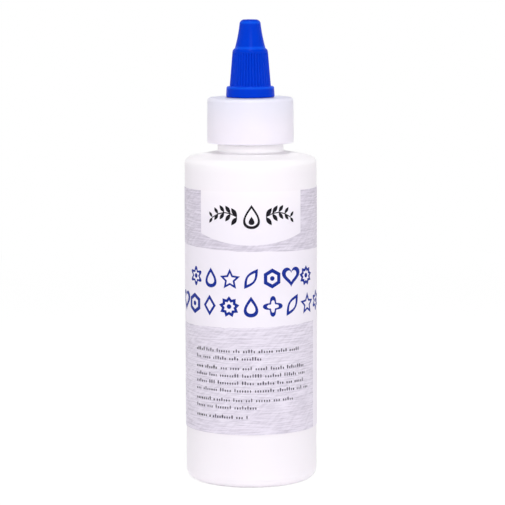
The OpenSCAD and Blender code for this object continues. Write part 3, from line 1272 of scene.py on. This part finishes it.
def makeFinePrint(name, side, top, share=1):
    # Lines of beads, the first group of each paragraph in black
    f = finePrint
    dice = random.Random(f["seed"])
    bold, plain = bmesh.new(), bmesh.new()
    height = top
    for lead, paragraph in zip(f["boldLead"], f["paragraphs"]):
        start = lead * mm
        beadLine(bold, side, height, start - f["wordGap"], dice)
        for length in paragraph:
            beadLine(plain, side + start, height, length * share * mm - start, dice)
            height -= f["linePitch"]
            start = 0
        height -= f["paragraphGap"]
    return makePrint(name + "_bold", bold, blackInk), makePrint(name + "_plain", plain, greyInk)


upperRow = makeRow("upperRow")
lowerRow = makeRow("lowerRow")
emblemPrint = makeEmblem()
printSide, printTop = markOnLabel("printStart")
frontPrint = makeFinePrint("front_print", printSide, printTop)
makeFinePrint("back_print", finePrint["backSide"], printTop, finePrint["backShare"])

# ---- glue and liner keep their CAD shapes ----
keptNodes = {"glue_fill": whiteGlue, "nozzle_glue": whiteGlue, "closure_liner": foam}
for nodeName, nodeFinish in keptNodes.items():
    for cadSlot in bpy.data.objects[nodeName].material_slots:
        cadSlot.material = nodeFinish

# ---- stage ----
studio = {
    "horizon": 2.28,
    "horizonFocus": 8,
    "floorRadius": 4,
    "floorGlow": 0.84,
    "shadowReach": (0.25, 0.6),
    "floorShade": (0.3, 0.3, 0.3, 1),
    "floorColour": (0.93, 0.93, 0.93, 1),
    "lamps": {
        "front": {"place": (0.11, -1.03, 0.67), "size": 0.4, "power": 2.8},
        "overhead": {"place": (0, -0.3, 1.15), "size": 0.3, "power": 5.05},
    },
}
white = (1, 1, 1, 1)


def seenPlain(wire):
    # 1 for the rays that show the background as it is: straight, mirrored or through glass
    path = wire.add("ShaderNodeLightPath", output="Is Camera Ray")
    mirrored = wire.math("MAXIMUM", path, path.part("Is Glossy Ray"))
    return wire.math("MAXIMUM", mirrored, path.part("Is Transmission Ray"))


def makeFloor():
    material, wire = newFinish("pale_floor")
    glow = wire.add("ShaderNodeEmission", {}, {"Color": white, "Strength": studio["floorGlow"]})
    shade = wire.add("ShaderNodeBsdfDiffuse", {}, {"Color": studio["floorShade"]})
    shaded = wire.add("ShaderNodeAddShader", {}, {0: glow, 1: shade})
    # Only the floor round the object shows its shadow
    near, far = studio["shadowReach"]
    spot = wire.add("ShaderNodeTexCoord", output="Object")
    out = wire.add("ShaderNodeVectorMath", {"operation": "LENGTH"}, {0: spot}).part("Value")
    plain = wire.add("ShaderNodeEmission", {}, {"Color": white, "Strength": 1})
    fades = (out - (near + far) / 2).edge(far - near)
    shown = wire.add("ShaderNodeMixShader", {}, {0: fades, 1: shaded, 2: plain})
    lit = wire.add("ShaderNodeBsdfDiffuse", {}, {"Color": studio["floorColour"]})
    close(wire, wire.add("ShaderNodeMixShader", {}, {0: seenPlain(wire), 1: lit, 2: shown}))
    shape = bmesh.new()
    bmesh.ops.create_circle(shape, cap_ends=True, segments=64, radius=studio["floorRadius"])
    mesh = bpy.data.meshes.new("floor")
    shape.to_mesh(mesh)
    shape.free()
    mesh.materials.append(material)
    floor = bpy.data.objects.new("floor", mesh)
    scene.collection.objects.link(floor)


def makeWorld():
    world = bpy.data.worlds.new("studio")
    scene.world = world
    world.use_nodes = True
    world.node_tree.nodes.clear()
    wire = Wire(world.node_tree, None)
    # Soft light that is strongest level with the object
    climb = heightOf(wire, wire.add("ShaderNodeTexCoord", output="Generated"))
    level = wire.math("POWER", 1 - climb * climb, studio["horizonFocus"])
    strength = studio["horizon"] * level
    ambient = wire.add("ShaderNodeBackground", {}, {"Color": white, "Strength": strength})
    shown = wire.add("ShaderNodeBackground", {}, {"Color": white, "Strength": 1})
    mixed = wire.add("ShaderNodeMixShader", {}, {0: seenPlain(wire), 1: ambient, 2: shown})
    wire.add("ShaderNodeOutputWorld", {}, {"Surface": mixed})


def makeLamps():
    for name, lamp in studio["lamps"].items():
        data = bpy.data.lights.new(name, "AREA")
        data.shape = "DISK"
        data.size = lamp["size"]
        data.energy = lamp["power"]
        made = bpy.data.objects.new(name, data)
        scene.collection.objects.link(made)
        made.location = lamp["place"]
        aim = up * view["aimHeight"] - made.location
        made.rotation_euler = aim.to_track_quat("-Z", "Y").to_euler()
        made.visible_camera = False


makeFloor()
makeWorld()
makeLamps()
scene.view_settings.view_transform = "Standard"
print("stage made")

# ---- where things show ----
shownPieces = [
    squeezeBottle, screwClosure, twistNozzle, printedLabel, upperRow, lowerRow, emblemPrint, *frontPrint
]
hiddenBy = 0.15 * mm  # a face this much nearer to the camera hides a point
neckShown = 2.2 * mm
bpy.context.view_layer.update()


def treeOfAll():
    corners = []
    faces = []
    for piece in shownPieces:
        first = len(corners)
        corners += [v.co.copy() for v in piece.data.vertices]
        faces += [[first + i for i in p.vertices] for p in piece.data.polygons]
    return BVHTree.FromPolygons(corners, faces)


allFaces = treeOfAll()


def shows(point):
    # Whether nothing stands between the camera and a point
    start = camera.matrix_world.translation
    reach = (point - start).length
    distance = allFaces.ray_cast(start, (point - start).normalized())[3]
    return distance is None or distance > reach - hiddenBy


def farthest(pieces, across, sign, low=-1, high=1):
    # The pixel of the vertex that shows farthest to one side, between two heights
    spots = [v.co.copy() for p in pieces for v in p.data.vertices if low < v.co.z < high]
    spots.sort(key=lambda spot: -sign * inImage(spot)[across])
    return next(inImage(spot) for spot in spots if shows(spot))


def middleOf(pieces, width=None):
    # The middle of the vertices that show, or of those within a width of the front
    spots = [
        inImage(v.co) for p in pieces for v in p.data.vertices
        if (width is None or abs(v.co.x) < width) and v.co.y < 0 and shows(v.co)
    ]
    return [(min(s[i] for s in spots) + max(s[i] for s in spots)) / 2 for i in (0, 1)]


def labelSpot(side, height):
    turn = side / labelFace
    return inImage(Vector((labelFace * math.sin(turn), -labelFace * math.cos(turn), height)))


def whatShows():
    return {
        "objectLeft": farthest(shownPieces, 0, -1),
        "objectRight": farthest(shownPieces, 0, 1),
        "objectTop": farthest(shownPieces, 1, -1),
        "objectBottom": farthest(shownPieces, 1, 1),
        "ringLeft": farthest([twistNozzle], 0, -1),
        "collarLeft": farthest([screwClosure], 0, -1),
        "collarRight": farthest([screwClosure], 0, 1),
        "collarFoot": farthest([screwClosure], 1, 1),
        "neckLeft": farthest([squeezeBottle], 0, -1, collarFoot - neckShown, collarFoot),
        "labelTop": labelSpot(0, labelHigh.z),
        "labelBottom": labelSpot(0, labelFoot),
        "shieldShoulder": labelSpot(ground["shieldHalf"], ground["shieldShoulder"]),
        "shieldFoot": labelSpot(0, ground["shieldFoot"]),
        "bandFoot": labelSpot(0, ground["bandFoot"]),
        "panelTop": labelSpot(0, ground["panelTop"]),
        "panelEnd": labelSpot(ground["panelEnd"], markOnLabel("panelEnd")[1]),
        "emblem": middleOf([emblemPrint]),
        "upperRow": middleOf([upperRow], rows["upperRow"]["pitch"] / 2),
        "lowerRow": middleOf([lowerRow], rows["lowerRow"]["pitch"] / 2),
        "printStart": labelSpot(printSide, printTop),
    }


for pointName, shownAt in whatShows().items():
    [
        None if want is None else round(got - want, 2)
        for got, want in zip(shownAt, imagePoints[pointName])
    ]
